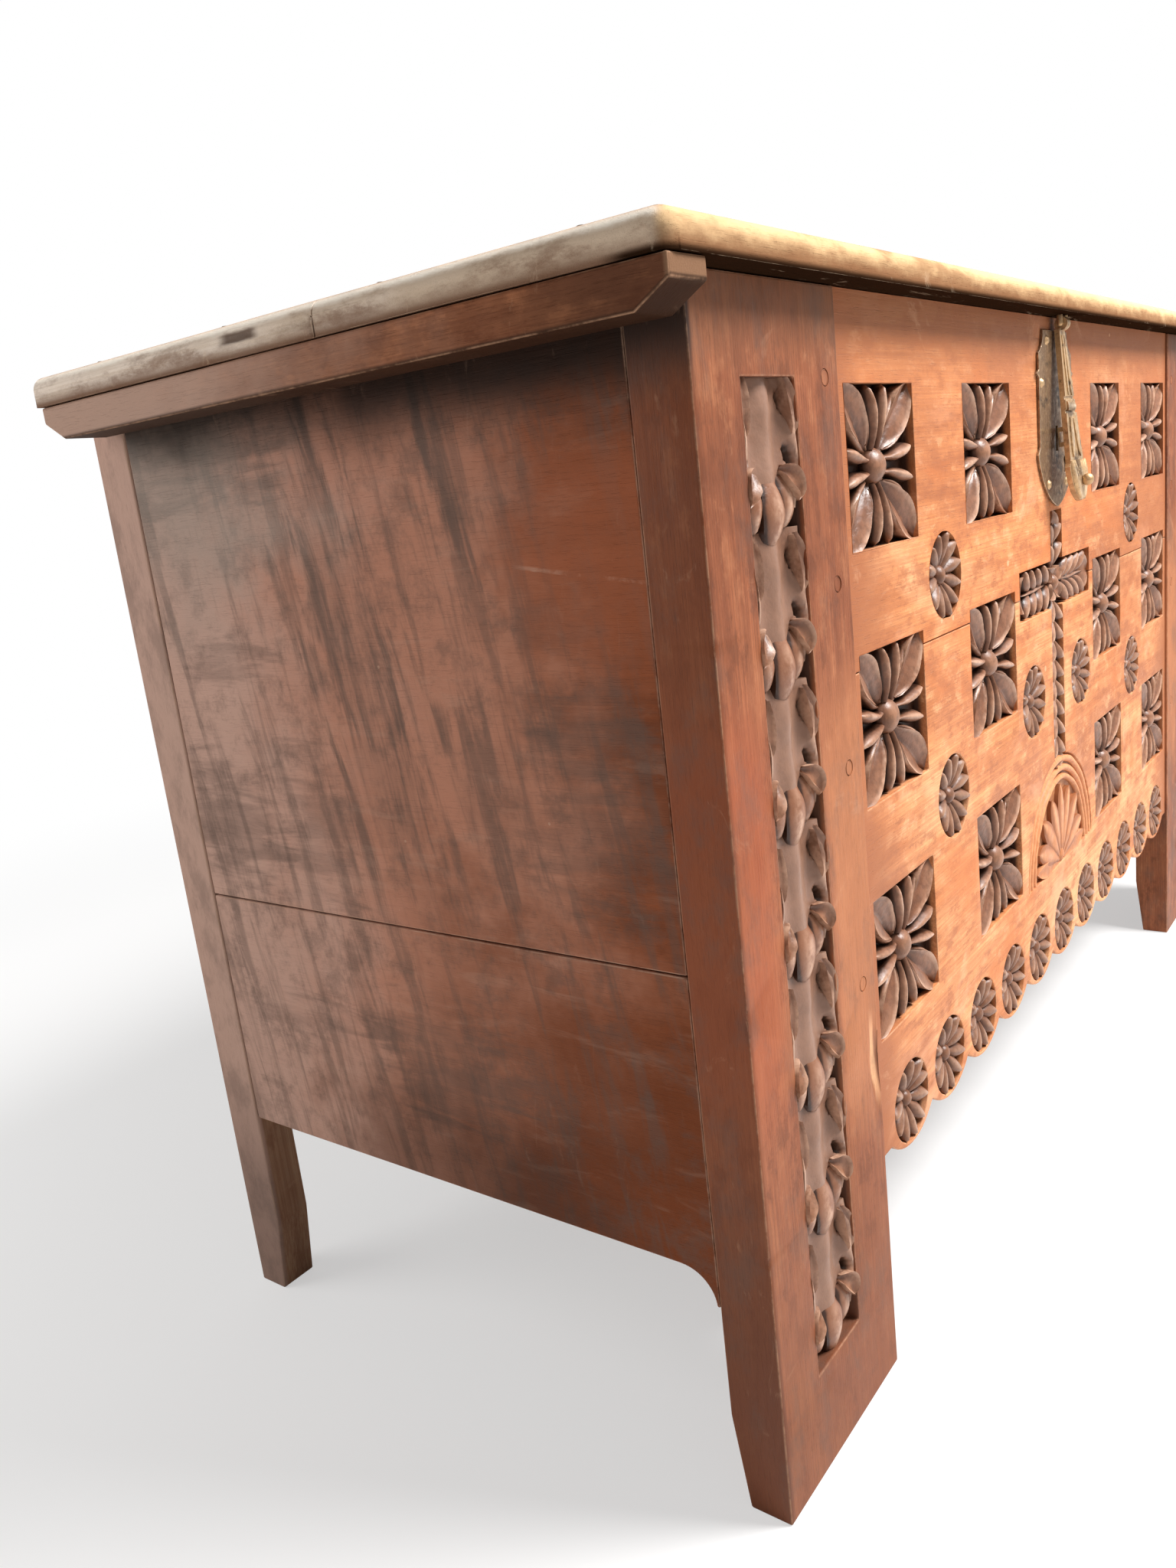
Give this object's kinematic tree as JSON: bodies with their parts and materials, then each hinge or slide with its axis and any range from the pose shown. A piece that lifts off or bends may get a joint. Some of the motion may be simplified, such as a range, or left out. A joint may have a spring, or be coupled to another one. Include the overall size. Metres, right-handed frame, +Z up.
{
  "type": "carved oak chest",
  "caption": "Plank-built oak chest on tall stile feet, its front carved with sunk rosettes and a cross, with a scalloped apron, a hinged lid with end cleats, and an iron hasp and lock.",
  "frame": {"origin": "on the floor, under the middle of the whole object", "axes": "+X to the right along the front, +Y to the back, +Z up"},
  "size_m": [1.36, 0.5798, 0.793],
  "materials": {
    "oak": "old waxed oak, worn",
    "iron": "old forged iron"
  },
  "bodies": {
    "chest": {"front_stile_left": "oak", "front_pegs_left": "oak", "rear_stile_left": "oak", "rear_pegs_left": "oak", "front_stile_right": "oak", "front_pegs_right": "oak", "rear_stile_right": "oak", "rear_pegs_right": "oak", "end_upper_left": "oak", "end_lower_left": "oak", "end_upper_right": "oak", "end_lower_right": "oak", "front_upper_plank": "oak", "front_lower_plank": "oak", "back_upper_plank": "oak", "back_lower_plank": "oak", "bottom_board_1": "oak", "bottom_board_2": "oak", "bottom_board_3": "oak", "bottom_board_4": "oak", "bottom_board_5": "oak", "bottom_board_6": "oak", "back_strap_left": "iron", "hinge_pin_left": "iron", "back_strap_right": "iron", "hinge_pin_right": "iron", "back_strap_nails": "iron", "lock_plate": "iron", "plate_nails": "iron", "lock_case": "iron", "bolt_guides": "iron", "bolt_spring": "iron", "key_pin": "iron"},
    "lid": {"lid_front_board": "oak", "lid_rear_board": "oak", "lid_cleat_left": "oak", "lid_cleat_right": "oak", "cleat_nails": "iron", "lid_strap_left": "iron", "lid_strap_right": "iron", "lid_strap_nails": "iron", "hasp_staple": "iron"},
    "hasp": {"hasp_strap": "iron", "hasp_loop": "iron", "hasp_knob": "iron"},
    "bolt": {"lock_bolt": "iron"}
  },
  "joints": [
    {"name": "lid_hinge", "type": "hinge", "parent": "chest", "child": "lid", "pos_m": [0, 0.28442, 0.7675], "axis": [-1, 0, 0], "range_deg": [0, 100]},
    {"name": "hasp_swing", "type": "hinge", "parent": "lid", "child": "hasp", "pos_m": [0, -0.26458, 0.762], "axis": [-1, 0, 0], "range_deg": [-5.6, 100]},
    {"name": "bolt_slide", "type": "slide", "parent": "chest", "child": "bolt", "axis": [-1, 0, 0], "range_m": [0, 0.016]}
  ]
}
